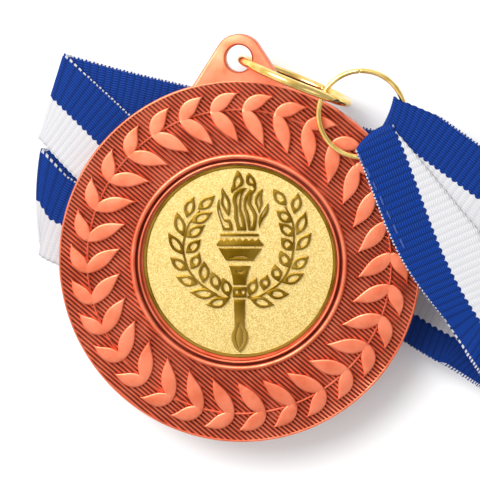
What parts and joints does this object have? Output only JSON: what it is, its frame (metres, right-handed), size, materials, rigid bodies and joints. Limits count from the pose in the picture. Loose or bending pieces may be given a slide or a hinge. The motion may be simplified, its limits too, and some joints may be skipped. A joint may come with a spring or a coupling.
{
  "type": "award medal with neck ribbon",
  "caption": "Round award medal with a leaf-wreathed rim, an embossed round insert and a hanging tab, on two linked jump rings and a two-colour neck ribbon folded flat beneath it.",
  "frame": {"origin": "on the surface that the folded ribbon lies on, under the medal's centre", "axes": "+Z out of the medal's face, +Y from the medal's centre to its hanging tab, +X to the right as the face is seen"},
  "size_m": [0.0669, 0.0524, 0.0157],
  "materials": {
    "medal_metal": "copper plated, satin, with a dark patina in the sunk hatching",
    "emblem_foil": "gold foil, sandblasted ground and dark polished relief",
    "adhesive": "matt",
    "ring_gold": "polished gold plate",
    "ribbon_tape": "woven ribbed tape, half blue and half white along its length",
    "thread": "sewing thread"
  },
  "bodies": {
    "medal": {"medal_body": "medal_metal", "emblem": "emblem_foil", "emblem_pad": "adhesive"},
    "large_ring": {"link_ring": "ring_gold"},
    "neck_ribbon": {"ribbon": "ribbon_tape", "seam_stitches": "thread"},
    "small_ring": {"ribbon_ring": "ring_gold"}
  },
  "joints": [
    {"name": "link_ring_rock", "type": "hinge", "parent": "medal", "child": "large_ring", "pos_m": [0, 0.026, 0.0081], "axis": [0.9272, -0.3746, 0], "range_deg": [-5, 30]},
    {"name": "ribbon_swing", "type": "hinge", "parent": "medal", "child": "neck_ribbon", "pos_m": [0, 0.026, 0.0081], "axis": [0, 0, 1], "range_deg": [-4, 4]},
    {"name": "ribbon_ring_spin", "type": "hinge", "parent": "neck_ribbon", "child": "small_ring", "pos_m": [0.0157, 0.0191, 0.0109], "axis": [0, 0, 1], "continuous": true}
  ]
}
